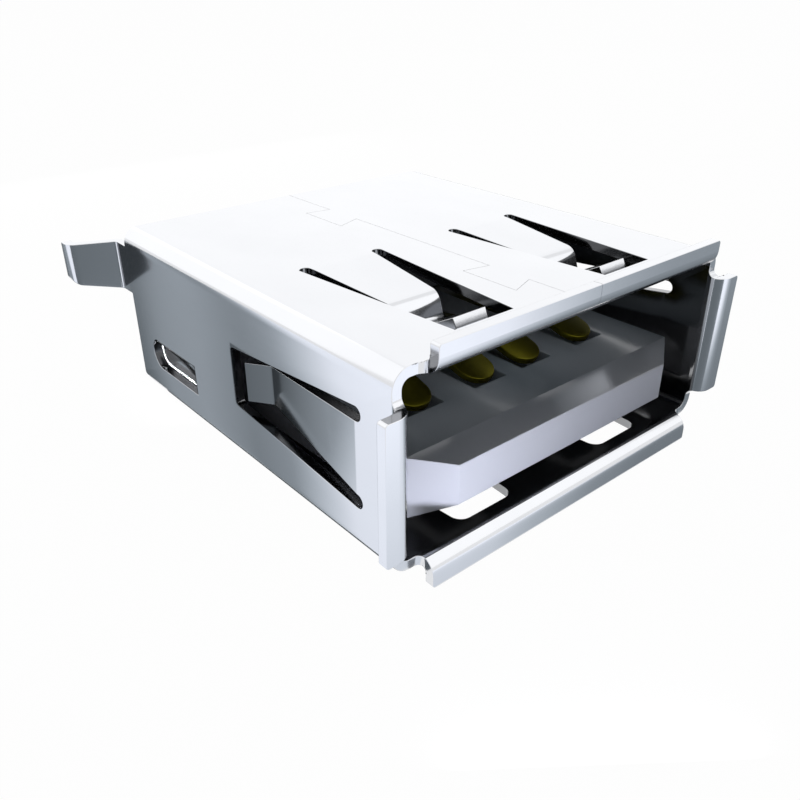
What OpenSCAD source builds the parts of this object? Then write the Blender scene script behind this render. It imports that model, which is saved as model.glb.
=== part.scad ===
/* [Mouth] */
// Width of the opening between the side walls
mouth_w = 12.5; // [12:0.1:14]
// Height of the opening between floor and ceiling
mouth_h = 5.12; // [5:0.02:6.4]

/* [Sheet] */
// Thickness of the folded sheet
sheet_t = 0.3; // [0.2:0.02:0.36]
// Inside radius of the four folded corners
corner_r = 0.25; // [0.15:0.05:0.4]
// Depth of the tube from the front of the lips to its rear edge
shell_len = 14.3; // [13.8:0.1:17]

/* [Lips] */
// Inside radius of the bend between wall and lip
lip_bend_r = 0.2; // [0.12:0.02:0.24]
// How far the top and bottom lips stand out past the wall
top_lip_reach = 0.54; // [0.45:0.01:1.2]
// How far the side lips stand out past the wall
side_lip_reach = 0.6; // [0.45:0.01:1.2]
// Distance from the outside of the side walls to the ends of the top and bottom lips
top_lip_inset = 0.92; // [0.85:0.01:2]
// Distance from the outside of the top and bottom walls to the ends of the side lips
side_lip_inset = 0.89; // [0.85:0.01:1.5]
// Radius of the free corners of the lips
lip_corner_r = 0.1; // [0.05:0.05:0.3]
// Radius of the fillet where a lip's end runs into the tube's edge
lip_relief_r = 0.22; // [0.1:0.02:0.24]

/* [Seam] */
// Width of the gap between the two edges of the sheet
seam_kerf = 0.01; // [0.01:0.01:0.1]
// How far the dovetail tabs reach across the seam
seam_tab_reach = 0.9; // [0.5:0.05:1.1]
// Length of a dovetail tab at its base
seam_tab_len = 1.52; // [1:0.02:2]
// How much a tab widens towards its tip on the mouth side
seam_flare_front = 0.34; // [0.1:0.02:0.4]
// How much a tab widens towards its tip on the rear side
seam_flare_rear = 0.16; // [0.1:0.02:0.4]
// Distance from the lips to the base of the front tab
seam_front_tab_y = 2.4; // [2:0.1:3]
// Distance from the rear edge to the base of the rear tab
seam_rear_tab_back = 2.6; // [2.2:0.1:3.5]

/* [Top and bottom fingers] */
// Distance between the centres of a pair of fingers
finger_pitch = 5.84; // [5.4:0.02:6.4]
// Distance from the lips to the fingers' roots
finger_root_y = 7.05; // [6.8:0.05:8]
// Distance from the lips to the bend where a finger turns in
finger_crease_y = 4.08; // [3.9:0.02:4.6]
// Distance from the lips to the fingers' tips
finger_tip_y = 1.73; // [1.7:0.01:1.9]
// Width of a finger at its root
finger_root_w = 2.29; // [2:0.01:2.4]
// Width of a finger at the bend
finger_crease_w = 1.72; // [1.4:0.02:1.9]
// Width of a finger at its tip
finger_tip_w = 1.06; // [0.8:0.02:1.3]
// Width of the slits beside a finger's root
slit_w = 0.35; // [0.25:0.01:0.45]
// Width of a finger window at its front edge
window_front_w = 2.06; // [1.9:0.02:2.4]
// Distance from the lips to the front edge of the top windows
top_window_y = 1.26; // [1:0.02:1.5]
// Distance from the lips to the front edge of the bottom windows
bottom_window_y = 0.78; // [0.7:0.02:1.5]
// Radius of the front corners of the bottom windows
bottom_window_r = 0.36; // [0.1:0.02:0.5]
// Radius of the bends in a finger or a spring at mid thickness
finger_bend_r = 0.3; // [0.25:0.01:0.35]
// Bend radius at a finger's root
finger_root_r = 3; // [2:0.1:4]
// Angle at which a top finger leans in from its root
top_finger_lean = 4.3; // [3:0.1:5]
// Angle at which a top finger drops behind the bend
top_finger_drop = 70; // [60:1:75]
// Angle at which the tip of a top finger rises
top_finger_rise = 28; // [25:1:32]
// Angle at which a bottom finger leans in from its root
bottom_finger_lean = 2; // [1.5:0.1:2.5]
// Angle at which a bottom finger drops behind the bend
bottom_finger_drop = 25; // [20:1:30]
// Angle at which the tip of a bottom finger rises
bottom_finger_rise = 15; // [13:1:17]

/* [Side springs] */
// Distance from the lips to the springs' roots
spring_root_y = 1.85; // [1.7:0.05:2.4]
// Distance from the lips to the bend that touches the plug
spring_crease_y = 6.28; // [5.6:0.02:6.4]
// How far a spring leans in at that bend
spring_lean = 0.52; // [0.3:0.02:0.7]
// Length of the tip that turns back out
spring_tip_len = 0.76; // [0.5:0.02:0.9]
// Angle of the tip against the wall
spring_tip_angle = 34; // [20:1:40]
// Height of a spring at its root
spring_root_h = 2.12; // [1.8:0.02:2.3]
// Height of a spring at its tip
spring_tip_h = 1.24; // [1:0.02:1.5]
// Width of the slots beside a spring's root
spring_slot_w = 0.4; // [0.3:0.02:0.5]
// Height of a side window at its rear edge
side_window_rear_h = 1.86; // [1.6:0.02:2.4]
// Distance from the lips to the rear edge of a side window
side_window_rear_y = 7.68; // [7.5:0.02:8.5]
// Radius of the rear corners of a side window
side_window_r = 0.15; // [0.05:0.05:0.3]

/* [Side lances] */
// Distance from the rear edge of the tube to the free end of a lance
lance_back = 1.17; // [1.1:0.01:1.5]
// Length of a lance
lance_len = 2.93; // [2.4:0.01:3.1]
// Height of the hinge of a lance below the middle of the mouth
lance_top_z = 0.66; // [0.5:0.02:0.7]
// Height of a lance from its hinge to its cut edge
lance_h = 0.95; // [0.8:0.01:1]
// How far the cut edge of a lance is pressed in
lance_press = 0.3; // [0.2:0.02:0.34]
// Length over which a lance runs in from the wall at its front
lance_ramp = 0.25; // [0.2:0.05:0.8]
// How much sooner below its hinge a lance is fully pressed in at its free end than at its front
lance_steepen = 2; // [1:0.1:3]
// Width of the gap round the cut edge of a lance
lance_gap = 0.07; // [0.05:0.01:0.12]
// Radius of the upper free corner of a lance
lance_top_r = 0.3; // [0.1:0.05:0.35]
// Radius of the lower free corner of a lance
lance_corner_r = 0.45; // [0.2:0.05:0.5]

/* [Ears] */
// How far an ear stands out past the side wall
ear_reach = 1.45; // [1:0.05:2]
// Angle between an ear and the side wall
ear_angle = 67; // [50:1:85]
// Distance from the rear edge of the tube to the corner of an ear's bend
ear_setback = 0.76; // [0.6:0.02:1]
// Length of the end of an ear that runs straight back
ear_end_len = 0.22; // [0.1:0.02:0.8]
// Distance from the outside of the top wall to the upper edge of an ear
ear_inset = 0.59; // [0.56:0.01:1]
// Height of an ear at the wall
ear_h = 1.67; // [1.2:0.01:2]
// How much the lower edge of an ear rises towards its end
ear_rise = 0.28; // [0.1:0.02:0.5]
// Radius of the lower corner of an ear
ear_corner_r = 0.3; // [0.1:0.05:0.4]
// Radius of an ear's bends at mid thickness
ear_bend_r = 0.3; // [0.25:0.01:0.35]

/* [Tongue and housing] */
// Gap between the tongue and the side walls, where the plug's shell goes
tongue_side_gap = 0.7; // [0.55:0.05:0.95]
// Gap between the tongue and the floor
tongue_floor_gap = 0.64; // [0.6:0.02:0.8]
// Thickness of the tongue
tongue_t = 1.84; // [1.6:0.02:1.9]
// Distance from the lips to the front of the tongue
tongue_front_y = 0.43; // [0.3:0.01:0.9]
// Length of the bevels at the tongue's front
tongue_bevel_len = 0.77; // [0.5:0.01:1]
// How much the bevels narrow the tongue's front on each side
tongue_bevel_w = 1.15; // [0.5:0.05:1.4]
// How much the bevels thin the tongue's front above and below
tongue_bevel_h = 0.32; // [0.2:0.02:0.45]
// Gap between the housing and the sheet around it
seat_clear = 0.02; // [0.01:0.01:0.06]
// Gap between a lance and the pocket round it in the side of the housing
lance_clear = 0.06; // [0.04:0.01:0.1]
// Distance from the lips to the front of the housing
housing_front_y = 10; // [9.8:0.1:10.6]
// How far the housing's rear face lies inside the tube's rear edge
housing_inset = 0.1; // [0:0.05:0.3]

/* [Contacts] */
// Distance of the two inner contacts from the middle of the mouth
contact_inner_x = 1; // [0.9:0.05:1.2]
// Distance of the two outer contacts from the middle of the mouth
contact_outer_x = 3.5; // [3:0.05:4]
// Thickness of a contact strip
contact_t = 0.2; // [0.15:0.01:0.25]
// Width of a contact strip
contact_w = 1.2; // [1:0.02:1.4]
// Width of a contact's tail behind the housing
tail_w = 0.7; // [0.5:0.02:0.9]
// How far a contact's tail stands out behind the housing
tail_len = 1.9; // [1:0.05:4]
// Height of a contact's crown above the tongue
contact_rise = 0.5; // [0.3:0.02:0.7]
// Distance from the lips to the crown of a contact
contact_crown_y = 4.3; // [4:0.05:5]
// Distance from the lips to the nose of a contact
contact_nose_y = 2.8; // [2.6:0.05:3]
// Angle at which a contact climbs to its crown
contact_climb = 10; // [9:0.5:14]
// Angle at which a contact falls to its nose
contact_fall = 16; // [12:1:20]
// Bend radius at a contact's crown
contact_crown_r = 0.8; // [0.5:0.05:1]
// Bend radius where a contact leaves the floor of its channel
contact_root_r = 2; // [1:0.1:3]
// Depth of the channels in the tongue
channel_depth = 0.55; // [0.45:0.01:0.65]
// Gap beside and above a contact in its channel
channel_clear = 0.05; // [0.03:0.01:0.08]
// Gap between the nose of a contact and the end of its channel
channel_end_clear = 0.12; // [0.08:0.02:0.2]
// How far the wide part of a contact reaches into the housing
contact_seat = 0.5; // [0.3:0.05:0.8]

/* [Hidden] */

// Number of flats that make up a bend or a rounded corner
bend_steps = 8;
// How far a cut runs past the faces it cuts
cut_over = 0.1;
// How far joined pieces of one sheet run into each other
sheet_lap = 0.12;
// Rows of flats along a pressed lance and ranks of them across it
lance_rows = 10;
lance_ranks = 8;
// How much the rows crowd towards the front of a lance
lance_crowd = 1.6;
// How much pressing thins each face of a lance
lance_thin = 0.01;
// Number of sides of a drawn circle
$fn = 48;

// Half width and half height of the tube, outside
half_w = mouth_w / 2 + sheet_t;
half_h = mouth_h / 2 + sheet_t;
// Outside radius of the lips' bends, which is also where the tube's walls begin
lip_bend_y = lip_bend_r + sheet_t;
// Angles of the fingers: the lean, the drop behind the bend and the rise of the tip
top_finger = [top_finger_lean, top_finger_drop, top_finger_rise];
bottom_finger = [bottom_finger_lean, bottom_finger_drop, bottom_finger_rise];
// Half width of the tongue, and its lower and upper faces
tongue_hx = mouth_w / 2 - tongue_side_gap;
tongue_bottom = tongue_floor_gap - mouth_h / 2;
tongue_top = tongue_bottom + tongue_t;
// Front and free end of the lances, and the rear of the housing
lance_end_y = shell_len - lance_back;
lance_front_y = lance_end_y - lance_len;
housing_rear_y = shell_len - housing_inset;
// Ends of the contacts' tails, their places and the floor of their channels
tail_end_y = housing_rear_y + tail_len;
contact_x = [-contact_outer_x, -contact_inner_x, contact_inner_x, contact_outer_x];
channel_floor = tongue_top - channel_depth;

// Direction and left-hand normal of a heading
function ahead(a) = [cos(a), sin(a)];
function left_of(a) = [-sin(a), cos(a)];

// Stations [point, heading] along a bend from point p with heading a
function bend(p, a, turn, r) =
    let (side = sign(turn))
    let (centre = p + side * r * left_of(a))
    [for (k = [0 : bend_steps])
        let (b = a + turn * k / bend_steps)
        [centre - side * r * left_of(b), b]];

// Stations along a strip: each step is a straight run, then a turn about a radius
function walk(steps, p, a, i = 0) =
    i == len(steps) ? [] :
    let (q = p + steps[i][0] * ahead(a))
    let (turn = steps[i][1])
    let (stops = turn == 0 ? [[q, a]] : bend(q, a, turn, steps[i][2]))
    let (last = stops[len(stops) - 1])
    concat(stops, walk(steps, last[0], last[1], i + 1));

// Outline of a strip of thickness t that follows the steps from point p with heading a
function strip(steps, p, a, t) =
    let (stops = concat([[p, a]], walk(steps, p, a)))
    let (last = len(stops) - 1)
    concat(
        [for (s = stops) s[0] + t / 2 * left_of(s[1])],
        [for (k = [last : -1 : 0]) stops[k][0] - t / 2 * left_of(stops[k][1])]);

// Arc that rounds corner b = [x, y, radius] between the points before and after it
function round_corner(before, b, after) =
    let (p = [b[0], b[1]], r = b[2])
    let (u = [before[0], before[1]] - p, v = [after[0], after[1]] - p)
    let (uu = u / norm(u), vv = v / norm(v))
    let (half = acos(uu * vv) / 2)
    let (centre = p + (uu + vv) / norm(uu + vv) * r / sin(half))
    let (first = p + uu * r / tan(half) - centre)
    let (start = atan2(first[1], first[0]))
    let (sweep = sign(uu[1] * vv[0] - uu[0] * vv[1]) * (180 - 2 * half))
    [for (k = [0 : bend_steps]) centre + r * ahead(start + sweep * k / bend_steps)];

// Outline through corners [x, y, radius], each rounded by its own radius
function rounded(c) =
    let (n = len(c))
    [for (i = [0 : n - 1])
        each c[i][2] == 0 ? [[c[i][0], c[i][1]]]
            : round_corner(c[(i + n - 1) % n], c[i], c[(i + 1) % n])];

// Closed outline from the points of its right edge, mirrored in the line x = 0
function both_edges(edge) =
    concat(edge, [for (k = [len(edge) - 1 : -1 : 0]) [-edge[k][0], edge[k][1]]]);

// Rectangle of the given half sizes with rounded corners
function round_rect(hx, hy, r) = rounded([[hx, -hy, r], [hx, hy, r], [-hx, hy, r], [-hx, -hy, r]]);

// Extrusions along the axes: the outline is in (y, z), (x, z) and (x, y)
module along_x(from, to) {
    translate([from, 0, 0]) rotate([90, 0, 90]) linear_extrude(to - from) children();
}
module along_y(from, to) {
    translate([0, to, 0]) rotate([90, 0, 0]) linear_extrude(to - from) children();
}
module along_z(from, to) {
    translate([0, 0, from]) linear_extrude(to - from) children();
}

// Turns a feature of the top wall onto both side walls
module both_sides() {
    for (side = [0, 1])
        mirror([side, 0, 0]) rotate([0, 90, 0]) children();
}

// Puts a feature of the top wall at both finger places
module both_fingers() {
    for (side = [-1, 1])
        translate([side * finger_pitch / 2, 0, 0]) children();
}

// Tube of folded sheet behind the lips
module tube() {
    difference() {
        along_y(lip_bend_y, shell_len) polygon(round_rect(half_w, half_h, corner_r + sheet_t));
        along_y(lip_bend_y - cut_over, shell_len + cut_over)
            polygon(round_rect(mouth_w / 2, mouth_h / 2, corner_r));
    }
}

// Lip of half length hx on a wall whose outside lies at height wall: a bend, then a short flange
module lip(wall, reach, hx) {
    mid_r = lip_bend_r + sheet_t / 2;
    steps = [[sheet_lap, -90, mid_r], [reach - lip_bend_r, 0]];
    profile = strip(steps, [lip_bend_y + sheet_lap, wall - sheet_t / 2], 180, sheet_t);
    intersection() {
        along_x(-hx, hx) polygon(profile);
        along_y(-cut_over, lip_bend_y + 2 * sheet_lap)
            polygon(rounded([[hx, wall - 2 * sheet_t, 0], [hx, wall + reach, lip_corner_r],
                [-hx, wall + reach, lip_corner_r], [-hx, wall - 2 * sheet_t, 0]]));
    }
    for (side = [0, 1])
        mirror([side, 0, 0]) intersection() {
            along_x(hx - sheet_lap, hx + lip_relief_r) polygon(profile);
            along_z(wall - 2 * sheet_t, wall + lip_bend_r) lip_relief(hx);
        }
}

// Concave fillet between a lip's end and the front edge of the tube, seen from above
module lip_relief(hx) {
    difference() {
        translate([hx - sheet_lap, lip_bend_y - lip_relief_r])
            square([lip_relief_r + sheet_lap, lip_relief_r + sheet_lap / 2]);
        translate([hx + lip_relief_r, lip_bend_y - lip_relief_r]) circle(lip_relief_r);
    }
}

module lips() {
    for (turn = [0, 180])
        rotate([0, turn, 0]) lip(half_h, top_lip_reach, half_w - top_lip_inset);
    for (turn = [90, 270])
        rotate([0, turn, 0]) lip(half_w, side_lip_reach, half_h - side_lip_inset);
}

// Straight lengths [drop, tip] of a finger whose tip comes back up to the wall's outer face
function finger_lengths(angles, run) =
    let (lean = angles[0], drop = angles[1], rise = angles[2])
    let (r = finger_bend_r)
    let (depth = finger_root_r * (1 - cos(lean)) + run * sin(lean))
    let (along = finger_crease_y - finger_tip_y - r * (2 * sin(drop) - sin(lean) + sin(rise)))
    let (down = -depth - sheet_t / 2 * (1 - cos(rise)) - r * (cos(lean) + cos(rise) - 2 * cos(drop)))
    [along * sin(rise) + down * cos(rise), along * sin(drop) - down * cos(drop)] / sin(drop + rise);

// Spring finger in the top wall, from its root through the plug bend to its tip
module finger(angles) {
    lean = angles[0];
    run = (finger_root_y - finger_root_r * sin(lean) - finger_crease_y) / cos(lean);
    lengths = finger_lengths(angles, run);
    steps = [[sheet_lap, lean, finger_root_r],
        [run, angles[1] - lean, finger_bend_r],
        [lengths[0], -angles[1] - angles[2], finger_bend_r],
        [lengths[1], 0]];
    root = [finger_root_y + sheet_lap, half_h - sheet_t / 2];
    plan = [[finger_root_w / 2, finger_root_y + sheet_lap], [finger_root_w / 2, finger_root_y],
        [finger_crease_w / 2, finger_crease_y], [finger_tip_w / 2, finger_tip_y - sheet_t]];
    intersection() {
        along_x(-finger_root_w, finger_root_w) polygon(strip(steps, root, 180, sheet_t));
        along_z(0, half_h + sheet_t) polygon(both_edges(plan));
    }
}

// Window around a finger: open at the front, with round slit ends beside the root
module finger_window(front_y, front_r) {
    root_hx = finger_root_w / 2 + slit_w;
    front_hx = window_front_w / 2;
    along_z(half_h - sheet_t - cut_over, half_h + cut_over) {
        polygon(rounded([[root_hx, finger_root_y, 0], [-root_hx, finger_root_y, 0],
            [-front_hx, front_y, front_r], [front_hx, front_y, front_r]]));
        for (side = [-1, 1])
            translate([side * (root_hx - slit_w / 2), finger_root_y]) circle(slit_w / 2);
    }
}

// Spring in a side wall, drawn on a top wall at height half_w: root in front, tip behind
module spring() {
    lean = atan(spring_lean / (spring_crease_y - spring_root_y));
    run = norm([spring_lean, spring_crease_y - spring_root_y]);
    steps = [[sheet_lap, -lean, finger_bend_r], [run, lean + spring_tip_angle, finger_bend_r],
        [spring_tip_len, 0]];
    root = [spring_root_y - sheet_lap, half_w - sheet_t / 2];
    root_hx = spring_root_h / 2;
    tip_hx = spring_tip_h / 2;
    plan = [[root_hx, spring_root_y - sheet_lap], [root_hx, spring_root_y],
        [tip_hx, spring_crease_y], [tip_hx, side_window_rear_y]];
    intersection() {
        along_x(-spring_root_h, spring_root_h) polygon(strip(steps, root, 0, sheet_t));
        along_z(0, half_w + sheet_t) polygon(both_edges(plan));
    }
}

// Window around a side spring, with round slot ends beside its root
module spring_window() {
    front_hx = spring_root_h / 2 + spring_slot_w;
    rear_hx = side_window_rear_h / 2;
    along_z(half_w - sheet_t - cut_over, half_w + cut_over) {
        polygon(rounded([[front_hx, spring_root_y, 0], [rear_hx, side_window_rear_y, side_window_r],
            [-rear_hx, side_window_rear_y, side_window_r], [-front_hx, spring_root_y, 0]]));
        for (side = [-1, 1])
            translate([side * (front_hx - spring_slot_w / 2), spring_root_y]) circle(spring_slot_w / 2);
    }
}

// Smooth rise from 0 to 1
function ease(t) = (1 - cos(180 * min(max(t, 0), 1))) / 2;

// How deep a lance is pressed in: u runs from its front to its free end, v from hinge to cut edge
function lance_depth(u, v) =
    lance_press * ease(u * lance_len / lance_ramp) * ease(v * (1 + lance_steepen * max(u, 0)));

// Pressed sheet of a lance on a top wall at height half_w, with a lap on its front and its hinge
module lance_sheet() {
    rows = [for (k = [-1 : lance_rows]) sign(k) * pow(abs(k) / lance_rows, lance_crowd)];
    ranks = [for (k = [-1 : lance_ranks]) k / lance_ranks];
    n = len(ranks);
    count = len(rows) * n;
    faces = [half_w - lance_thin, half_w - sheet_t + lance_thin];
    points = [for (face = faces) for (u = rows) for (v = ranks)
        [lance_top_z + v * lance_h, lance_front_y + u * lance_len, face - lance_depth(u, v)]];
    cells = [for (i = [0 : len(rows) - 2]) for (j = [0 : n - 2]) i * n + j];
    outer = [for (c = cells) each [[c, c + n, c + n + 1], [c, c + n + 1, c + 1]]];
    inner = [for (f = outer) [f[2] + count, f[1] + count, f[0] + count]];
    rim = concat([for (j = [0 : n - 1]) j], [for (i = [1 : len(rows) - 1]) i * n + n - 1],
        [for (j = [n - 2 : -1 : 0]) count - n + j], [for (i = [len(rows) - 2 : -1 : 1]) i * n]);
    sides = [for (k = [0 : len(rim) - 1]) let (a = rim[k], b = rim[(k + 1) % len(rim)])
        each [[a, b, b + count], [a, b + count, a + count]]];
    polyhedron(points, concat(outer, inner, sides));
}

// Lance cut to its outline: square in front and along the hinge, round at its two free corners
module lance() {
    cut_x = lance_top_z + lance_h;
    hinge_end = lance_end_y - lance_top_r - sheet_lap;
    intersection() {
        lance_sheet();
        along_z(half_w - 2 * sheet_t - lance_press, half_w + cut_over)
            polygon(rounded([[cut_x, lance_front_y - lance_len, 0], [cut_x, lance_end_y, lance_corner_r],
                [lance_top_z, lance_end_y, lance_top_r], [lance_top_z, hinge_end, 0], [0, hinge_end, 0],
                [0, lance_front_y - lance_len, 0]]));
    }
}

// Opening in the wall for a lance, with the gap round its cut edge
module lance_slot() {
    slot_x = lance_top_z + lance_h + lance_gap;
    rear_y = lance_end_y + lance_gap;
    along_z(half_w - sheet_t - cut_over, half_w + cut_over)
        polygon(rounded([[lance_top_z, lance_front_y, 0], [slot_x, lance_front_y, 0],
            [slot_x, rear_y, lance_corner_r + lance_gap], [lance_top_z, rear_y, lance_top_r + lance_gap]]));
}

// Pocket for a lance in the side of the housing, which keeps the housing from moving either way
module lance_pocket() {
    depth = lance_press + lance_clear;
    translate([lance_top_z - lance_clear, lance_front_y - lance_clear, mouth_w / 2 - depth])
        cube([lance_h + 2 * lance_clear, lance_len + 2 * lance_clear, depth + sheet_t]);
}

// Ear behind the upper part of a side wall: out at an angle, then back along the tube
module ear() {
    trim = ear_bend_r * tan(ear_angle / 2);
    lead = ear_setback - trim;
    arm = ear_reach / sin(ear_angle) - 2 * trim;
    corner_y = ear_setback + ear_reach / tan(ear_angle);
    steps = [[sheet_lap + lead, -ear_angle, ear_bend_r], [arm, ear_angle, ear_bend_r], [ear_end_len, 0]];
    start = [half_w - sheet_t / 2, shell_len - sheet_lap];
    inner_x = half_w - 2 * sheet_t;
    outer_x = half_w + ear_reach;
    top_z = half_h - ear_inset;
    root_z = top_z - ear_h;
    intersection() {
        along_z(root_z, top_z) polygon(strip(steps, start, 90, sheet_t));
        along_y(shell_len - 2 * sheet_lap, shell_len + corner_y + trim + ear_end_len + cut_over)
            polygon(rounded([[inner_x, top_z, 0], [inner_x, root_z, 0], [half_w, root_z, 0],
                [outer_x, root_z + ear_rise, ear_corner_r], [outer_x, top_z, 0]]));
    }
}

// Thin cut that follows the seam through the top wall and the top lip
module seam() {
    front = seam_front_tab_y;
    rear = shell_len - seam_rear_tab_back - seam_tab_len;
    tabs = [for (base = [front, rear]) each [[0, base],
        [-seam_tab_reach, base - seam_flare_front],
        [-seam_tab_reach, base + seam_tab_len + seam_flare_rear],
        [0, base + seam_tab_len]]];
    route = concat([[0, -cut_over]], tabs, [[0, shell_len + cut_over]]);
    along_z(half_h - sheet_t - cut_over, half_h + top_lip_reach + cut_over)
        for (k = [0 : len(route) - 2])
            seam_cut(route[k], route[k + 1]);
}

// One straight stretch of the seam
module seam_cut(from, to) {
    way = to - from;
    translate(from) rotate(atan2(way[1], way[0]))
        translate([-seam_kerf / 2, -seam_kerf / 2]) square([norm(way) + seam_kerf, seam_kerf]);
}

module shell() {
    color("silver") difference() {
        union() {
            difference() {
                tube();
                both_fingers() finger_window(top_window_y, 0);
                mirror([0, 0, 1]) both_fingers() finger_window(bottom_window_y, bottom_window_r);
                both_sides() spring_window();
                both_sides() lance_slot();
            }
            lips();
            both_fingers() finger(top_finger);
            mirror([0, 0, 1]) both_fingers() finger(bottom_finger);
            both_sides() spring();
            both_sides() lance();
            for (side = [0, 1])
                mirror([side, 0, 0]) ear();
        }
        seam();
    }
}

// Tongue: a bevelled nose in plan and in side view
module tongue() {
    shoulder_y = tongue_front_y + tongue_bevel_len;
    root_y = housing_front_y + cut_over;
    plan = [[tongue_hx - tongue_bevel_w, tongue_front_y], [tongue_hx, shoulder_y], [tongue_hx, root_y]];
    side_view = [[tongue_front_y, tongue_bottom + tongue_bevel_h], [shoulder_y, tongue_bottom],
        [root_y, tongue_bottom], [root_y, tongue_top],
        [shoulder_y, tongue_top], [tongue_front_y, tongue_top - tongue_bevel_h]];
    intersection() {
        along_z(-half_h, half_h) polygon(both_edges(plan));
        along_x(-half_w, half_w) polygon(side_view);
    }
}

// Channel of one contact: open along the tongue, closed through the housing
module channel() {
    hx = contact_w / 2 + channel_clear;
    tail_hx = tail_w / 2 + channel_clear;
    front_y = contact_nose_y - channel_end_clear;
    seat_y = housing_front_y + contact_seat + channel_clear;
    roof = channel_floor + contact_t + channel_clear;
    translate([-hx, front_y, channel_floor]) cube([2 * hx, housing_front_y - front_y, half_h]);
    translate([-hx, front_y, channel_floor]) cube([2 * hx, seat_y - front_y, roof - channel_floor]);
    translate([-tail_hx, front_y, channel_floor])
        cube([2 * tail_hx, housing_rear_y + cut_over - front_y, roof - channel_floor]);
}

module insulator() {
    color("whitesmoke") difference() {
        union() {
            along_y(housing_front_y, housing_rear_y)
                polygon(round_rect(mouth_w / 2 - seat_clear, mouth_h / 2 - seat_clear, corner_r));
            tongue();
        }
        for (x = contact_x)
            translate([x, 0, 0]) channel();
        both_sides() lance_pocket();
    }
}

// Contact strip: tail and floor run, climb to the crown, then a short fall to a round nose
module contact(place) {
    floor_z = channel_floor + contact_t / 2;
    crown_z = tongue_top + contact_rise - contact_t / 2;
    bends = (contact_root_r + contact_crown_r) * (1 - cos(contact_climb));
    climb = (crown_z - floor_z - bends) / sin(contact_climb);
    root_y = contact_crown_y + (contact_root_r + contact_crown_r) * sin(contact_climb)
        + climb * cos(contact_climb);
    fall_y = contact_crown_y - contact_crown_r * sin(contact_fall) - contact_nose_y;
    steps = [[tail_end_y - root_y, -contact_climb, contact_root_r],
        [climb, contact_climb + contact_fall, contact_crown_r],
        [fall_y / cos(contact_fall) + contact_t, 0]];
    seat_y = housing_front_y + contact_seat;
    nose_r = contact_w / 2;
    color("goldenrod") translate([contact_x[place - 1], 0, 0]) intersection() {
        along_x(-contact_w, contact_w) polygon(strip(steps, [tail_end_y, floor_z], 180, contact_t));
        along_z(-half_h, half_h) translate([0, contact_nose_y + nose_r]) {
            circle(nose_r);
            translate([-nose_r, 0]) square([contact_w, seat_y - contact_nose_y - nose_r]);
            translate([-tail_w / 2, 0]) square([tail_w, tail_end_y + cut_over - contact_nose_y - nose_r]);
        }
    }
}

shell();
insulator();
contact(1);  // contact_1
contact(2);  // contact_2
contact(3);  // contact_3
contact(4);  // contact_4
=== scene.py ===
import math

import bmesh
import bpy
import numpy as np
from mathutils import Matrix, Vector


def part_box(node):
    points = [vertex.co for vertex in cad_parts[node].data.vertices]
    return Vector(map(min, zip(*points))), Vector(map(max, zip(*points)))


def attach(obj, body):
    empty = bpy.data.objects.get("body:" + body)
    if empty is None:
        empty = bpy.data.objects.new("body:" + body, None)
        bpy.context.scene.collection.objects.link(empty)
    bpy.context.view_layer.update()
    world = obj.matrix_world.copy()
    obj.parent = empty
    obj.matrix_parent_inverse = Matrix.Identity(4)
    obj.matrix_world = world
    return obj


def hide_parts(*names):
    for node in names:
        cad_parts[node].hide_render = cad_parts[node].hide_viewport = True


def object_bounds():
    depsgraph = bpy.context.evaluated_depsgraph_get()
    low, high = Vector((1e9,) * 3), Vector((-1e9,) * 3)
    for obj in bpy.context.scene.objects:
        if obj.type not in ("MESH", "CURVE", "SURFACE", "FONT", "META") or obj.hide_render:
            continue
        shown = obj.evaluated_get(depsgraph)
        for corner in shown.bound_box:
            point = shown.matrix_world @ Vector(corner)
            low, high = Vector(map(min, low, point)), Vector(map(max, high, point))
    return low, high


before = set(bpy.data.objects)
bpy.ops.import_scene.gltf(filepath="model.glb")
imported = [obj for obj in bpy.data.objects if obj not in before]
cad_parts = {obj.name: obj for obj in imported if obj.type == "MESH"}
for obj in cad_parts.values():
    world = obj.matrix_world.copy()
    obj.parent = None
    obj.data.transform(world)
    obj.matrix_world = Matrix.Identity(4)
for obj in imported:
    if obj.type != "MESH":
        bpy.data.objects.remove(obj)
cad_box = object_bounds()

MM = 0.001

# Camera, in the part's frame, in millimetres and degrees
CAMERA_PLACE = np.array([-16.3165, -11.2086, 10.549])
CAMERA_TILT = 61.2607
CAMERA_TURN = -40.5166
CAMERA_LENS = 36.0
SENSOR_WIDTH = 36.0
NEAREST = 0.5

# Merging and rounding, in millimetres and degrees
SAME_POINT = 0.0001
FLAT_ANGLE = 0.5
BEND_ANGLE = 30
EDGE_ANGLE = 40
SHEET_EDGE = 0.02
MOULD_EDGE = 0.03
EDGE_SEGMENTS = 2

# The tube: half its outer width and height, where painted shade on its inner side and cut edges begins, and
# its seam
TUBE_HALF = (6.55, 2.86)
INNER_SHADE_FROM = 0.3
CUT_RANGE = (0.6, 14.2)
CUT_LIMIT = 0.3
SEAM_HALF = 1.2
SEAM_LOW = 2.4

# Contact strips: their nodes, and the sizes that the frame's boxes do not give
CONTACTS = ("contact_1", "contact_2", "contact_3", "contact_4")
CONTACT_T = 0.2
CONTACT_EDGE = 0.03
CONTACT_CLIMB = 10
CONTACT_FALL = 16
CONTACT_ROOT_R = 2.0
CONTACT_CROWN_R = 0.8
CONTACT_CROWN_Y = 4.3
CONTACT_SEAT_Y = 10.5
CONTACT_SHOULDER = 0.04
CONTACT_STATIONS = 420
CONTACT_SIDES = 32
TAIL_W = 0.7
PLATING_FADE = (8.6, 9.4)

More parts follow.
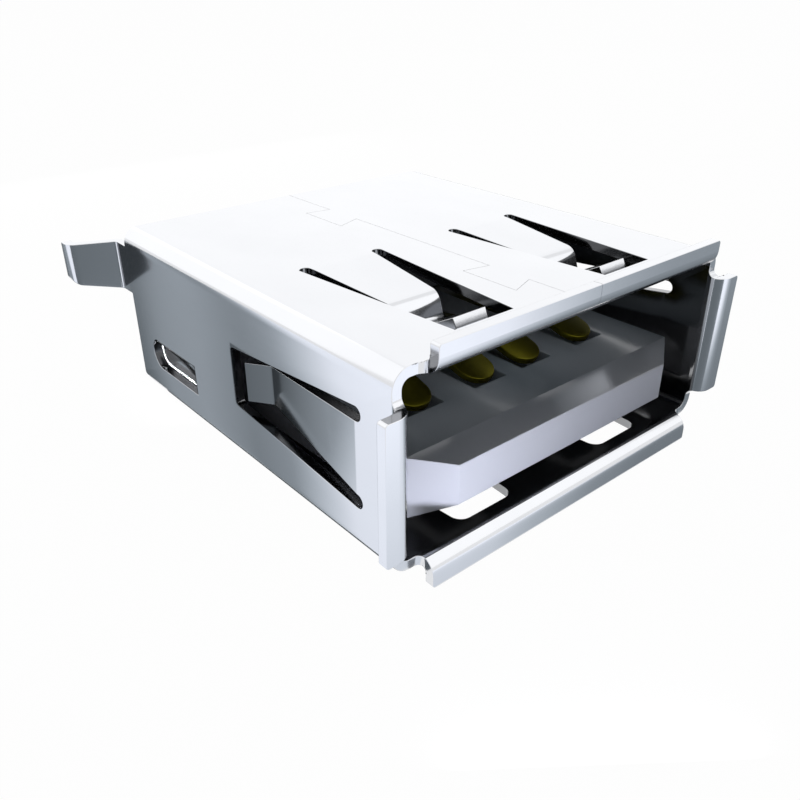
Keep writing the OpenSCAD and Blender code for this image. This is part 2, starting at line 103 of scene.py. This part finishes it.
# Shades of the finishes, dark and light, and the spans of their roughness
BRIGHT_NICKEL = ((0.72, 0.73, 0.755), (0.78, 0.79, 0.815))
# Darker nickel: painted shade on the tube's inner side and on the cut edges of its windows
INNER_SHADE_NICKEL = ((0.27, 0.275, 0.285), (0.33, 0.335, 0.345))
NICKEL_ROUGHNESS = (0.11, 0.16)
COOL_WHITE = ((0.77, 0.785, 0.845), (0.82, 0.83, 0.88))
WHITE_ROUGHNESS = (0.11, 0.17)
WHITE_SPECULAR = 0.8
BARE_STRIP = ((0.60, 0.59, 0.56), (0.70, 0.69, 0.66))
# Gold of the contacts, darkened with painted shade of the tube's inside
SHADED_GOLD = ((0.15, 0.137, 0.01), (0.18, 0.165, 0.014))
STRIP_ROUGHNESS = (0.34, 0.42)

# Grain of the finishes in cycles per millimetre along X, Y and Z, and its relief as height and strength
ROLLING_STREAKS = (6.0, 0.35, 6.0)
STREAK_RELIEF = (0.004, 0.1)
PLATING_CLOUDS = (0.5, 0.35, 0.5)
MOULD_FLOW = (0.35, 0.2, 0.35)
MOULD_GRAIN = (14.0, 14.0, 14.0)
GRAIN_RELIEF = (0.003, 0.2)
DRAWN_LINES = (9.0, 0.8, 9.0)
DRAWN_RELIEF = (0.003, 0.01)
NOISE_DETAIL = 3.0

# Sockets of the Mix node for colours
FIRST_COLOUR = 6
SECOND_COLOUR = 7
MIXED_COLOUR = 2

# How the white surroundings fade with a ray's bounces: the count, where they are full and where gone
BOUNCE_FADES = (("Diffuse Depth", 0.0, 0.5), ("Glossy Depth", 1.0, 2.5))

# Floor and world
FLOOR_Z = cad_box[0][2] / MM
FLOOR_HALF = 3000.0
FLOOR_COLOUR = (0.9, 0.9, 0.9)
FLOOR_GLOW = 0.985
WHITE_LIGHT = (1, 1, 1)
DIM_LIGHT = (0.95, 0.97, 1)
DIM_STRENGTH = 0.06

# Reflection cards: height on the floor, steps across, where the foot's shade ends, reach and tints
CARD_LIFT = 0.02
CARD_Z = FLOOR_Z + CARD_LIFT
CARD_STEPS = 240
CARD_RISE = 1.7
CARD_REACH = 120.0
MIRROR_GAP = 0.02
DARK_TINT = (0.86, 1.0, 1.1)
LIGHT_TINT = (0.965, 1.0, 1.08)

# What the left wall and the plane of the mouth mirror: degrees about the camera's mirror image, and tone
WALL_X = -TUBE_HALF[0]
LIP_Y = 0.0
LEFT_STOPS = ((-75, 1.0), (-41, 1.1), (-36.4, 1.05), (-31.3, 0.36), (-28.5, 0.28), (-25, 0.41),
              (-22.5, 0.37), (-21, 0.18), (-19, 0.09))
LEFT_FOOT = 0.9
FRONT_STOPS = ((106, 0.3), (119.5, 0.36), (123.4, 0.49), (128.1, 0.83), (131.2, 1.1), (134.7, 1.2),
               (150, 1.2))
FRONT_FOOT = 0.66

# The ear's cards: their place just ahead of the ears, where one gives way to the other, and their heights
EAR_CARD_Y = 13.3
EAR_CARD_STEP = -9.6
EAR_CARD_FOOT = -0.3
EAR_CARD_TOP = 2.4


def collect(obj):
    """Links an object to the scene."""
    bpy.context.scene.collection.objects.link(obj)
    return obj


def new_material(name):
    """An empty node material: the material, its nodes and its links."""
    material = bpy.data.materials.new(name)
    material.use_nodes = True
    material.node_tree.nodes.clear()
    return material, material.node_tree.nodes, material.node_tree.links


def noise(nodes, links, scale):
    """Noise over the part's own coordinates, given in cycles per millimetre along X, Y and Z."""
    place = nodes.new("ShaderNodeTexCoord")
    stretch = nodes.new("ShaderNodeMapping")
    stretch.inputs["Scale"].default_value = [cycles / MM for cycles in scale]
    texture = nodes.new("ShaderNodeTexNoise")
    texture.inputs["Scale"].default_value = 1.0
    texture.inputs["Detail"].default_value = NOISE_DETAIL
    links.new(place.outputs["Object"], stretch.inputs["Vector"])
    links.new(stretch.outputs["Vector"], texture.inputs["Vector"])
    return texture.outputs["Fac"]


def between(nodes, links, value, low, high, start=0.0, end=1.0):
    """Low where the value is at the start, high where it is at the end, and straight between."""
    spread = nodes.new("ShaderNodeMapRange")
    spread.inputs["From Min"].default_value = start
    spread.inputs["From Max"].default_value = end
    spread.inputs["To Min"].default_value = low
    spread.inputs["To Max"].default_value = high
    links.new(value, spread.inputs["Value"])
    return spread.outputs["Result"]


def joined(nodes, links, operation, first, second):
    """Two values joined by the named operation."""
    node = nodes.new("ShaderNodeMath")
    node.operation = operation
    links.new(first, node.inputs[0])
    links.new(second, node.inputs[1])
    return node.outputs[0]


def shades(nodes, links, value, dark, light):
    """A colour between two shades."""
    ramp = nodes.new("ShaderNodeValToRGB")
    ramp.color_ramp.elements[0].color = (*dark, 1)
    ramp.color_ramp.elements[1].color = (*light, 1)
    links.new(value, ramp.inputs["Fac"])
    return ramp.outputs["Color"]


def mixed_colours(nodes, links, share, first, second):
    """The first colour where the share is 0, the second where it is 1."""
    mix = nodes.new("ShaderNodeMix")
    mix.data_type = "RGBA"
    links.new(share, mix.inputs["Factor"])
    links.new(first, mix.inputs[FIRST_COLOUR])
    links.new(second, mix.inputs[SECOND_COLOUR])
    return mix.outputs[MIXED_COLOUR]


def mixed_surfaces(nodes, links, share, first, second):
    """The first shader where the share is 0, the second where it is 1."""
    mix = nodes.new("ShaderNodeMixShader")
    links.new(share, mix.inputs["Fac"])
    links.new(first, mix.inputs[1])
    links.new(second, mix.inputs[2])
    return mix.outputs["Shader"]


def relief(nodes, links, value, height, strength):
    """A fine surface relief of the given height in millimetres."""
    bump = nodes.new("ShaderNodeBump")
    bump.inputs["Strength"].default_value = strength
    bump.inputs["Distance"].default_value = height * MM
    links.new(value, bump.inputs["Height"])
    return bump.outputs["Normal"]


def stored_value(nodes, name):
    """The node of a value that is stored on the mesh."""
    value = nodes.new("ShaderNodeAttribute")
    value.attribute_name = name
    return value


def show(nodes, links, shader, kind="ShaderNodeOutputMaterial"):
    """Joins a shader to the output."""
    out = nodes.new(kind)
    links.new(shader, out.inputs["Surface"])


def principled(nodes, links):
    """The surface shader, joined to the output."""
    shader = nodes.new("ShaderNodeBsdfPrincipled")
    show(nodes, links, shader.outputs["BSDF"])
    return shader


def nickel_sheet():
    """Plated sheet: satin metal with rolling streaks along the tube, a faint cloudiness of the plating
    and painted shade on the inner side and cut edges."""
    material, nodes, links = new_material("nickel_sheet")
    shader = principled(nodes, links)
    streaks = noise(nodes, links, ROLLING_STREAKS)
    clouds = noise(nodes, links, PLATING_CLOUDS)
    bright = shades(nodes, links, clouds, *BRIGHT_NICKEL)
    # Painted shade: the darker nickel where the mesh marks the inner side and cut edges
    painted_shade = shades(nodes, links, clouds, *INNER_SHADE_NICKEL)
    inner = stored_value(nodes, "painted_inner_shade").outputs["Fac"]
    shader.inputs["Metallic"].default_value = 1.0
    links.new(mixed_colours(nodes, links, inner, bright, painted_shade), shader.inputs["Base Color"])
    links.new(between(nodes, links, streaks, *NICKEL_ROUGHNESS), shader.inputs["Roughness"])
    links.new(relief(nodes, links, streaks, *STREAK_RELIEF), shader.inputs["Normal"])
    return material


def white_plastic():
    """Moulded white: a cool white, a little uneven, with the fine grain of the mould."""
    material, nodes, links = new_material("white_plastic")
    shader = principled(nodes, links)
    flow = noise(nodes, links, MOULD_FLOW)
    grain = noise(nodes, links, MOULD_GRAIN)
    shader.inputs["Specular IOR Level"].default_value = WHITE_SPECULAR
    links.new(shades(nodes, links, flow, *COOL_WHITE), shader.inputs["Base Color"])
    links.new(between(nodes, links, grain, *WHITE_ROUGHNESS), shader.inputs["Roughness"])
    links.new(relief(nodes, links, grain, *GRAIN_RELIEF), shader.inputs["Normal"])
    return material


def contact_plating():
    """Strip metal: gold darkened with painted shade over the sprung end, bare pale metal on the tail, drawn
    along its length.
    """
    material, nodes, links = new_material("contact_gold")
    shader = principled(nodes, links)
    drawn = noise(nodes, links, DRAWN_LINES)
    bare = shades(nodes, links, drawn, *BARE_STRIP)
    gold = shades(nodes, links, drawn, *SHADED_GOLD)
    plated = stored_value(nodes, "plated").outputs["Fac"]
    shader.inputs["Metallic"].default_value = 1.0
    links.new(mixed_colours(nodes, links, plated, bare, gold), shader.inputs["Base Color"])
    links.new(between(nodes, links, drawn, *STRIP_ROUGHNESS), shader.inputs["Roughness"])
    links.new(relief(nodes, links, drawn, *DRAWN_RELIEF), shader.inputs["Normal"])
    return material


def dress(piece, node, material):
    """Gives a piece its finish and lets it stand for a node of the frame."""
    piece.data.materials.clear()
    piece.data.materials.append(material)
    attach(piece, "root")
    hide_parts(node)


def rows_of(items, field):
    """A vector of each point or face of a mesh, as rows of three."""
    values = np.empty(len(items) * 3)
    items.foreach_get(field, values)
    return values.reshape(-1, 3)


def store(mesh, name, domain, values):
    """Stores a value on each point or face of a mesh."""
    layer = mesh.attributes.new(name, "FLOAT", domain)
    layer.data.foreach_set("value", values.astype(np.float32))


def smooth(mesh, angle):
    """Smooth shading, except at edges sharper than an angle in degrees."""
    mesh.polygons.foreach_set("use_smooth", np.ones(len(mesh.polygons), dtype=bool))
    mesh.set_sharp_from_angle(angle=math.radians(angle))


def on_seam(edge):
    """True for the edges along the seam in the top, which stay sharp."""
    return all(abs(v.co.x) < SEAM_HALF * MM and v.co.z > SEAM_LOW * MM for v in edge.verts)


def rounded_copy(node, edge):
    """A copy of a node with its doubled points merged, smooth bends and edges rounded by a small radius."""
    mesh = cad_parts[node].data.copy()
    work = bmesh.new()
    work.from_mesh(mesh)
    bmesh.ops.remove_doubles(work, verts=work.verts, dist=SAME_POINT * MM)
    bmesh.ops.dissolve_degenerate(work, edges=work.edges, dist=SAME_POINT * MM)
    bmesh.ops.dissolve_limit(work, angle_limit=math.radians(FLAT_ANGLE), verts=work.verts, edges=work.edges)
    rounding = work.edges.layers.float.new("bevel_weight_edge")
    for line in work.edges:
        line[rounding] = float(line.calc_face_angle(0.0) > math.radians(EDGE_ANGLE) and not on_seam(line))
    work.to_mesh(mesh)
    work.free()
    smooth(mesh, BEND_ANGLE)
    piece = collect(bpy.data.objects.new(node + "_finished", mesh))
    bevel = piece.modifiers.new("edges", "BEVEL")
    bevel.width = edge * MM
    bevel.segments = EDGE_SEGMENTS
    bevel.limit_method = "WEIGHT"
    bevel.use_clamp_overlap = False
    bevel.harden_normals = True
    return piece


def mark_painted_inner_shade(mesh):
    """Marks the faces that get painted shade: the inner faces of the tube, whose normal points in through
    the nearest wall, and the cut edges of its windows, whose normal lies along that wall."""
    place = rows_of(mesh.polygons, "center") / MM
    normal = rows_of(mesh.polygons, "normal")
    beside = np.abs(place[:, 0]) - TUBE_HALF[0] > np.abs(place[:, 2]) - TUBE_HALF[1]
    out = np.where(beside, np.sign(place[:, 0]) * normal[:, 0], np.sign(place[:, 2]) * normal[:, 2])
    inner = (out < -CUT_LIMIT) & (place[:, 1] > INNER_SHADE_FROM)
    cut = (out < CUT_LIMIT) & (place[:, 1] > CUT_RANGE[0]) & (place[:, 1] < CUT_RANGE[1])
    store(mesh, "painted_inner_shade", "FACE", (inner | cut) & (np.abs(place[:, 0]) < TUBE_HALF[0]))


def grid_mesh(name, points, closed_across=False):
    """A mesh over a grid of points, rows by columns by three, in millimetres: a quad between each two
    rows and two columns, and a last strip back to the first column where the grid is closed across."""
    rows, columns = points.shape[:2]
    index = np.arange(rows * columns).reshape(rows, columns)
    if closed_across:
        index = np.concatenate([index, index[:, :1]], axis=1)
    corners = [index[:-1, :-1], index[1:, :-1], index[1:, 1:], index[:-1, 1:]]
    quads = np.stack(corners, axis=-1).reshape(-1, 4)
    mesh = bpy.data.meshes.new(name)
    mesh.from_pydata((points.reshape(-1, 3) * MM).tolist(), [], quads.tolist())
    return mesh


def contact_path(low, high):
    """The mid line of a contact in side view, from its tail to its nose. Its heading is level, turns up
    round the root bend, climbs straight, turns down round the crown and falls straight, and its place is
    the running sum of the heading."""
    climb, fall = math.radians(CONTACT_CLIMB), math.radians(CONTACT_FALL)
    floor_z = low[2] + CONTACT_T / 2
    crown_z = high[2] - CONTACT_T / 2
    bends = CONTACT_ROOT_R + CONTACT_CROWN_R
    slope = (crown_z - floor_z - bends * (1 - math.cos(climb))) / math.sin(climb)
    root_y = CONTACT_CROWN_Y + bends * math.sin(climb) + slope * math.cos(climb)
    drop = (CONTACT_CROWN_Y - CONTACT_CROWN_R * math.sin(fall) - low[1]) / math.cos(fall)
    lengths = (high[1] - root_y, CONTACT_ROOT_R * climb, slope, CONTACT_CROWN_R * (climb + fall), drop)
    stops = np.cumsum((0.0,) + lengths)
    along = np.linspace(0, stops[-1], CONTACT_STATIONS)
    rise = np.interp(along, stops, (0, 0, climb, climb, -fall, -fall))
    step = np.diff(along, prepend=0)
    middle = (rise + np.roll(rise, 1)) / 2
    middle[0] = 0
    y = high[1] - np.cumsum(step * np.cos(middle))
    z = floor_z + np.cumsum(step * np.sin(middle))
    return y, z, rise


def strip_points(low, high):
    """Points of a strip with rounded edges carried along the contact's mid line: narrow in the tail, wide
    along the tongue and ending in a half round nose. Each section is a rectangle whose corners are quarter
    circles, and each end is drawn together to its middle."""
    y, z, rise = contact_path(low, high)
    wide = (high[0] - low[0]) / 2
    half = np.interp(y, (CONTACT_SEAT_Y - CONTACT_SHOULDER, CONTACT_SEAT_Y), (wide, TAIL_W / 2))
    from_nose = np.clip(y - low[1], 0, wide)
    half = np.minimum(half, np.sqrt(np.maximum(wide ** 2 - (wide - from_nose) ** 2, CONTACT_EDGE ** 2)))
    turn = (np.arange(CONTACT_SIDES) + 0.5) * 2 * np.pi / CONTACT_SIDES
    across = (half - CONTACT_EDGE)[:, None] * np.sign(np.cos(turn)) + CONTACT_EDGE * np.cos(turn)
    up = (CONTACT_T / 2 - CONTACT_EDGE) * np.sign(np.sin(turn)) + CONTACT_EDGE * np.sin(turn)
    points = np.stack([(low[0] + high[0]) / 2 + across,
                       y[:, None] + np.sin(rise)[:, None] * up,
                       z[:, None] + np.cos(rise)[:, None] * up], axis=-1)
    tail, nose = (np.broadcast_to(points[end].mean(axis=0), points[:1].shape) for end in (0, -1))
    return np.concatenate([tail, points, nose])


def contact_strip(node, name):
    """A contact as one closed strip, with the share of gold stored on its points, from 1 at the nose to 0
    at the tail."""
    low, high = (np.array(corner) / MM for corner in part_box(node))
    mesh = grid_mesh(name, strip_points(low, high), closed_across=True)
    work = bmesh.new()
    work.from_mesh(mesh)
    bmesh.ops.remove_doubles(work, verts=work.verts, dist=SAME_POINT * MM)
    bmesh.ops.recalc_face_normals(work, faces=work.faces)
    work.to_mesh(mesh)
    work.free()
    smooth(mesh, EDGE_ANGLE)
    y = rows_of(mesh.vertices, "co")[:, 1] / MM
    store(mesh, "plated", "POINT", np.interp(y, PLATING_FADE, (1.0, 0.0)))
    return collect(bpy.data.objects.new(name, mesh))


def light_path_is_seen(nodes, links):
    """1 for a ray from the camera, from a first reflection or through a clear surface, a third of that
    after a second reflection, and 0 after more or after a matte surface."""
    path = nodes.new("ShaderNodeLightPath")
    seen = path.outputs["Is Camera Ray"]
    for ray in ("Is Glossy Ray", "Is Transmission Ray"):
        seen = joined(nodes, links, "MAXIMUM", seen, path.outputs[ray])
    for bounces, full, gone in BOUNCE_FADES:
        fade = between(nodes, links, path.outputs[bounces], 1.0, 0.0, full, gone)
        seen = joined(nodes, links, "MULTIPLY", seen, fade)
    return seen


def floor_white():
    """Pale floor: diffuse for light, and nearly plain white where it is seen, with a trace of the shadow."""
    material, nodes, links = new_material("floor_white")
    matte = nodes.new("ShaderNodeBsdfDiffuse")
    matte.inputs["Color"].default_value = (*FLOOR_COLOUR, 1)
    glow = nodes.new("ShaderNodeEmission")
    glow.inputs["Color"].default_value = (*WHITE_LIGHT, 1)
    share = between(nodes, links, light_path_is_seen(nodes, links), 0.0, FLOOR_GLOW)
    show(nodes, links, mixed_surfaces(nodes, links, share, matte.outputs["BSDF"], glow.outputs["Emission"]))
    return material


def background(nodes, colour, strength):
    """A plain background of the given colour and strength."""
    plain = nodes.new("ShaderNodeBackground")
    plain.inputs["Color"].default_value = (*colour, 1)
    plain.inputs["Strength"].default_value = strength
    return plain.outputs["Background"]


def studio_world():
    """A dim world for light, and plain white where it is seen."""
    world = bpy.data.worlds.new("studio")
    bpy.context.scene.world = world
    world.use_nodes = True
    nodes, links = world.node_tree.nodes, world.node_tree.links
    nodes.clear()
    dim = background(nodes, DIM_LIGHT, DIM_STRENGTH)
    white = background(nodes, WHITE_LIGHT, 1.0)
    sky = mixed_surfaces(nodes, links, light_path_is_seen(nodes, links), dim, white)
    show(nodes, links, sky, kind="ShaderNodeOutputWorld")


def stage_grid(name, points, material):
    """A stage surface from a grid of points, rows by columns by three, in millimetres."""
    mesh = grid_mesh(name, points)
    mesh.materials.append(material)
    obj = collect(bpy.data.objects.new(name, mesh))
    return obj


def only_in_shade(obj):
    """Lets a card stop light and nothing else."""
    obj.visible_camera = False
    obj.visible_glossy = False
    obj.visible_transmission = False
    obj.visible_volume_scatter = False


def only_in_reflections(obj):
    """Lets a card show in reflections and nowhere else."""
    obj.visible_camera = False
    obj.visible_diffuse = False
    obj.visible_transmission = False
    obj.visible_shadow = False
    obj.visible_volume_scatter = False


def card_material(name, one_sided=False):
    """A card that glows with the tone stored on its points where it is seen, on both sides or one."""
    material, nodes, links = new_material(name)
    glow = nodes.new("ShaderNodeEmission")
    links.new(stored_value(nodes, "tone").outputs["Color"], glow.inputs["Color"])
    links.new(light_path_is_seen(nodes, links), glow.inputs["Strength"])
    shader = glow.outputs["Emission"]
    if one_sided:
        back = nodes.new("ShaderNodeNewGeometry").outputs["Backfacing"]
        clear = nodes.new("ShaderNodeBsdfTransparent").outputs["BSDF"]
        shader = mixed_surfaces(nodes, links, back, shader, clear)
    show(nodes, links, shader)
    return material


def tone_layer(card, tone):
    """Stores a tone for each point on a card, blue-green where it is dark and faintly blue where light."""
    share = np.clip(tone, 0, 1)[:, None]
    colour = np.ones((len(tone), 4))
    colour[:, :3] = tone[:, None] * (np.array(DARK_TINT) * (1 - share) + np.array(LIGHT_TINT) * share)
    layer = card.data.color_attributes.new("tone", "FLOAT_COLOR", "POINT")
    layer.data.foreach_set("color", colour.reshape(-1).astype(np.float32))


def fan_card(name, eye, mirror, stops, foot):
    """A card on the floor seen in a flat mirror, given as (axis, offset) of an upright plane. Its tone goes
    by the angle about the eye's image behind the mirror, straight between the given stops, times a factor
    that rises from the foot of the mirror to 1 further out."""
    axis, offset = mirror
    angles, tones = np.array(stops).T
    angle = np.linspace(angles[0], angles[-1], CARD_STEPS)
    tone = np.interp(angle, angles, tones)
    heading = np.stack([np.sin(np.radians(angle)), np.cos(np.radians(angle))], axis=-1)
    near = (offset - eye[axis]) / heading[:, axis]
    reach = np.stack([near, near * CARD_RISE, np.full_like(near, CARD_REACH)], axis=-1)
    points = np.empty((CARD_STEPS, 3, 3))
    points[..., :2] = np.array(eye) + reach[..., None] * heading[:, None, :]
    points[..., 2] = CARD_Z
    card = stage_grid(name, points, card_material(name))
    tone_layer(card, np.outer(tone, (foot, 1.0, 1.0)).reshape(-1))
    return card


def upright_card(name, start, end, bottom, top, tones, one_sided=False):
    """A card that stands on edge between two floor points, with a tone at each end. A one-sided card shows
    on the right-hand side of the way from its start to its end."""
    run, rise = np.meshgrid(np.array([0.0, 1.0]), np.array([bottom, top]), indexing="ij")
    x = start[0] + run * (end[0] - start[0])
    y = start[1] + run * (end[1] - start[1])
    card = stage_grid(name, np.stack([x, y, rise], axis=-1), card_material(name, one_sided=one_sided))
    tone_layer(card, np.repeat(tones, 2))
    return card


def level_points(low, high, height):
    """The corners of a level rectangle as a grid of points."""
    x, y = np.meshgrid(np.array([low[0], high[0]], float), np.array([low[1], high[1]], float), indexing="ij")
    return np.stack([x, y, np.full_like(x, height)], axis=-1)


def flat_card(name, low, high, height, tones):
    """A level card between two corners, with a tone at each end along X."""
    card = stage_grid(name, level_points(low, high, height), card_material(name))
    tone_layer(card, np.repeat(tones, 2))
    return card


def area_lamp(name, place, aim, size, strength, seen=True, lights=True, spread=180, colour=WHITE_LIGHT):
    """A rectangular lamp at a place, turned to a point. Its power is the given strength times pi times the
    area of its face. It is seen in reflections, or lights matte surfaces, or both."""
    light = bpy.data.lights.new(name, "AREA")
    light.shape = "RECTANGLE"
    light.size = size[0] * MM
    light.size_y = size[1] * MM
    light.energy = strength * math.pi * light.size * light.size_y
    light.spread = math.radians(spread)
    light.color = colour
    lamp = collect(bpy.data.objects.new(name, light))
    lamp.location = [c * MM for c in place]
    lamp.rotation_euler = (Vector(aim) - Vector(place)).to_track_quat("-Z", "Y").to_euler()
    lamp.visible_camera = False
    lamp.visible_glossy = seen
    lamp.visible_diffuse = lights
    return lamp


def photo_camera():
    """The camera at the photograph's place and angle."""
    camera_data = bpy.data.cameras.new("camera")
    camera_data.lens = CAMERA_LENS
    camera_data.sensor_width = SENSOR_WIDTH
    camera_data.clip_start = NEAREST * MM
    camera = collect(bpy.data.objects.new("camera", camera_data))
    camera.location = (CAMERA_PLACE * MM).tolist()
    camera.rotation_euler = (math.radians(CAMERA_TILT), 0, math.radians(CAMERA_TURN))
    return camera


# The part
shell = rounded_copy("shell", SHEET_EDGE)
# Painted shade on the tube's inner side and cut edges
mark_painted_inner_shade(shell.data)
dress(shell, "shell", nickel_sheet())
dress(rounded_copy("insulator", MOULD_EDGE), "insulator", white_plastic())
plating = contact_plating()
for node in CONTACTS:
    dress(contact_strip(node, node + "_strip"), node, plating)

# Floor and surroundings
floor_points = level_points((-FLOOR_HALF, -FLOOR_HALF), (FLOOR_HALF, FLOOR_HALF), FLOOR_Z)
stage_grid("floor", floor_points, floor_white())
studio_world()

# The camera's images in the left wall and in the plane of the mouth
left_eye = (2 * WALL_X - CAMERA_PLACE[0], CAMERA_PLACE[1])
front_eye = (CAMERA_PLACE[0], 2 * LIP_Y - CAMERA_PLACE[1])

cards = (
    # Graded floor in the left wall and in the lips
    fan_card("left_card", left_eye, (0, WALL_X - MIRROR_GAP), LEFT_STOPS, LEFT_FOOT),
    fan_card("front_card", front_eye, (1, LIP_Y - MIRROR_GAP), FRONT_STOPS, FRONT_FOOT),
    # Dark side of the left ear, and of the kink at its tip
    upright_card("ear_card", start=(-6.7, EAR_CARD_Y), end=(EAR_CARD_STEP, EAR_CARD_Y),
                 bottom=EAR_CARD_FOOT, top=EAR_CARD_TOP, tones=(0.23, 0.19), one_sided=True),
    upright_card("tip_card", start=(EAR_CARD_STEP, EAR_CARD_Y), end=(-24, EAR_CARD_Y),
                 bottom=FLOOR_Z, top=EAR_CARD_TOP, tones=(0.19, 0.12), one_sided=True),
    # Shade on the left side spring
    upright_card("spring_card", start=(-6.72, 3.9), end=(-6.72, 8.0),
                 bottom=-1.13, top=0.9, tones=(0.33, 0.11)),
    # Shade in the roll of the right lip
    upright_card("lip_card", start=(5.9, -12), end=(5.9, 0.1),
                 bottom=FLOOR_Z, top=1.9, tones=(0.45, 0.17), one_sided=True),
    # Light of the right top window in the tongue's chamfer
    flat_card("window_card", low=(2.3, 0.45), high=(5.1, 1.25), height=2.5, tones=(0.3, 2.3)),
    # Shade below the left bend, and on the far floor
    flat_card("under_card", low=(WALL_X, 0.6), high=(-5.0, 14.0), height=CARD_Z, tones=(0.12, 0.12)),
    flat_card("far_card", low=(0, 16), high=(90, 120), height=CARD_Z, tones=(0.3, 0.3)),
)
for card in cards:
    only_in_reflections(card)

# Softboxes that the metal mirrors
area_lamp("rear_softbox", place=(75, 86, 48), aim=(0, 5, 3), size=(190, 110), strength=0.2)
area_lamp("left_softbox", place=(-35, 92, 55), aim=(-6, 7, 3), size=(110, 100), strength=0.28, lights=False)
area_lamp("front_softbox", place=(45, -60, 75), aim=(0, 0, 0), size=(120, 120), strength=0.26, lights=False)

# Lamps that no reflection shows: overhead, before the mouth, behind the part, at the lance and in the tube
area_lamp("overhead", place=(0, 30, 160), aim=(0, 6, 0), size=(170, 170), strength=0.5, seen=False)
area_lamp("front_fill", place=(-6.5, -6, -3.1), aim=(-1.5, 0.4, -1), size=(6, 0.5), strength=47.5,
          seen=False, colour=(0.97, 1.0, 1.15))
area_lamp("rear_fill", place=(0, 50, 6), aim=(0, 14, 0), size=(60, 16), strength=2.4, seen=False)
area_lamp("lance_light", place=(-8.05, 7.7, 0.5), aim=(-6.3, 11.8, -1.64), size=(1.5, 0.5), strength=55.0,
          seen=False, spread=40)
area_lamp("tube_glow", place=(0, 2.6, 2.45), aim=(0, 2.6, -0.1), size=(11.5, 2.4), strength=0.13,
          seen=False, colour=(0.8, 1.0, 1.1))

# Keeps the front lamp off the tongue's lower edge
only_in_shade(upright_card("fill_flag", start=(-6, -0.3), end=(6, -0.3), bottom=FLOOR_Z, top=-1.8,
                           tones=(0.0, 0.0)))

bpy.context.scene.camera = photo_camera()
bpy.context.scene.view_settings.view_transform = "Standard"
